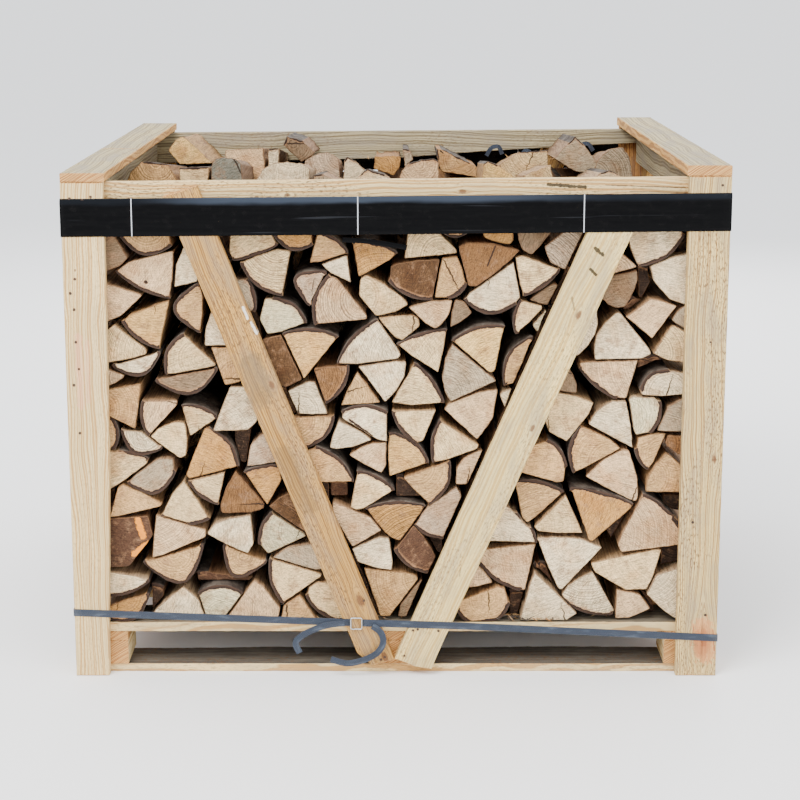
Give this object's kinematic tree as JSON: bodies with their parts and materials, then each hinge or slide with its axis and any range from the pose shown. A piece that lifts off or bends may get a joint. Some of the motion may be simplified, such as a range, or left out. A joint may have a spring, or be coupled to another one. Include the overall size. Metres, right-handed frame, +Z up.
{
  "type": "crate of beech firewood",
  "caption": "Open crate of nailed boards packed with rows of split beech logs, with V braces on the front, a black film band round the top and a blue strap round the foot.",
  "frame": {"origin": "on the ground at the centre of the crate's plan, loose strap ends aside", "axes": "+X to the right along the braced front as one faces it, +Y from the front to the back, +Z up"},
  "size_m": [1.2022, 1.051, 0.9613],
  "materials": {
    "pale_timber": "rough-sawn, pale, dry",
    "tan_timber": "rough-sawn, tan, dry",
    "weathered_timber": "rough-sawn, greyed by weather",
    "beech_logs": "sawn end grain, split sides and thin grey bark",
    "black_film": "stretched black film, glossy with small wrinkles",
    "blue_strap": "woven slate-blue strap",
    "steel_wire": "bright galvanised wire"
  },
  "bodies": {
    "root": {"back_brace_left": "pale_timber", "back_brace_right": "tan_timber", "back_leg_left": "tan_timber", "back_leg_right": "tan_timber", "back_post_left": "tan_timber", "back_post_right": "tan_timber", "back_rail": "weathered_timber", "band_tail": "black_film", "bark_log": "beech_logs", "block_centre_back": "pale_timber", "block_centre_front": "pale_timber", "block_centre_middle": "pale_timber", "block_left_back": "pale_timber", "block_left_front": "pale_timber", "block_left_middle": "pale_timber", "block_right_back": "pale_timber", "block_right_front": "pale_timber", "block_right_middle": "pale_timber", "brace_left": "tan_timber", "brace_right": "pale_timber", "buckle": "steel_wire", "cap_left_back": "weathered_timber", "cap_left_front": "weathered_timber", "cap_right": "weathered_timber", "centre_runner": "tan_timber", "film_band": "black_film", "floor_board_1": "tan_timber", "floor_board_2": "tan_timber", "floor_board_3": "tan_timber", "floor_board_4": "tan_timber", "floor_board_5": "tan_timber", "floor_board_6": "tan_timber", "front_leg_left": "pale_timber", "front_leg_right": "pale_timber", "front_post_left": "pale_timber", "front_post_right": "pale_timber", "front_rail": "pale_timber", "grey_log": "beech_logs", "ground_board_back": "weathered_timber", "ground_board_front": "weathered_timber", "ground_board_middle": "weathered_timber", "log_row_back": "beech_logs", "log_row_front": "beech_logs", "log_row_middle": "beech_logs", "orange_log": "beech_logs", "pale_log": "beech_logs", "side_rail_left": "weathered_timber", "side_rail_right": "weathered_timber", "side_slat_left_lower": "weathered_timber", "side_slat_left_upper": "weathered_timber", "side_slat_right_lower": "weathered_timber", "side_slat_right_upper": "weathered_timber", "split_log": "beech_logs", "strap": "blue_strap", "strap_tail_left": "blue_strap", "strap_tail_right": "blue_strap", "stringer_centre": "tan_timber", "stringer_left": "tan_timber", "stringer_right": "tan_timber", "tan_log": "beech_logs"}
  },
  "joints": []
}
